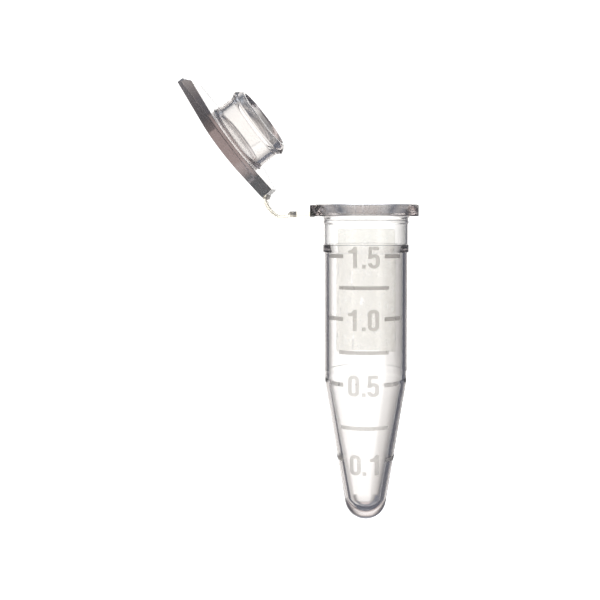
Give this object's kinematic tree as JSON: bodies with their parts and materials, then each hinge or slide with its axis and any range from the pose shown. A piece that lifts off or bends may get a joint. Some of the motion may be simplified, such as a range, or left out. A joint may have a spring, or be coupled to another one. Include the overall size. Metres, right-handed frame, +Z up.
{
  "type": "microcentrifuge tube",
  "caption": "Clear 1.5 mL microcentrifuge tube with a conical tip, level marks and a hollow-plug snap cap held open on a living hinge.",
  "frame": {"origin": "centre of the mouth where its lead-in meets the straight wall, in the plane of the collar's underside", "axes": "+Z up out of the mouth along the tube's axis, -X towards the hinge and the open cap, -Y towards the level marks"},
  "size_m": [0.0298, 0.013, 0.055],
  "materials": {
    "clear_pp": "clear natural polypropylene, glossy",
    "frosted_field": "fine frosted texture",
    "frosted_marks": "frosted, slightly raised"
  },
  "bodies": {
    "tube": {"tube_body": "clear_pp", "collar": "clear_pp", "hinge_tab": "clear_pp", "writing_panel": "frosted_field", "graduation_bars": "frosted_marks", "numeral_1_5": "frosted_marks", "numeral_1_0": "frosted_marks", "numeral_0_5": "frosted_marks", "numeral_0_1": "frosted_marks"},
    "strap": {"hinge_strap": "clear_pp"},
    "lid": {"lid_plate": "clear_pp", "lid_lug": "clear_pp", "thumb_tab": "clear_pp", "seal_plug": "clear_pp"}
  },
  "joints": [
    {"name": "strap_fold", "type": "hinge", "parent": "tube", "child": "strap", "pos_m": [-0.00972, 0, 0], "axis": [0, 1, 0], "range_deg": [-35, 77.12]},
    {"name": "lid_fold", "type": "hinge", "parent": "strap", "child": "lid", "pos_m": [-0.01244, 0, 0.00192], "axis": [0, 1, 0], "range_deg": [-15, 49.17]}
  ]
}
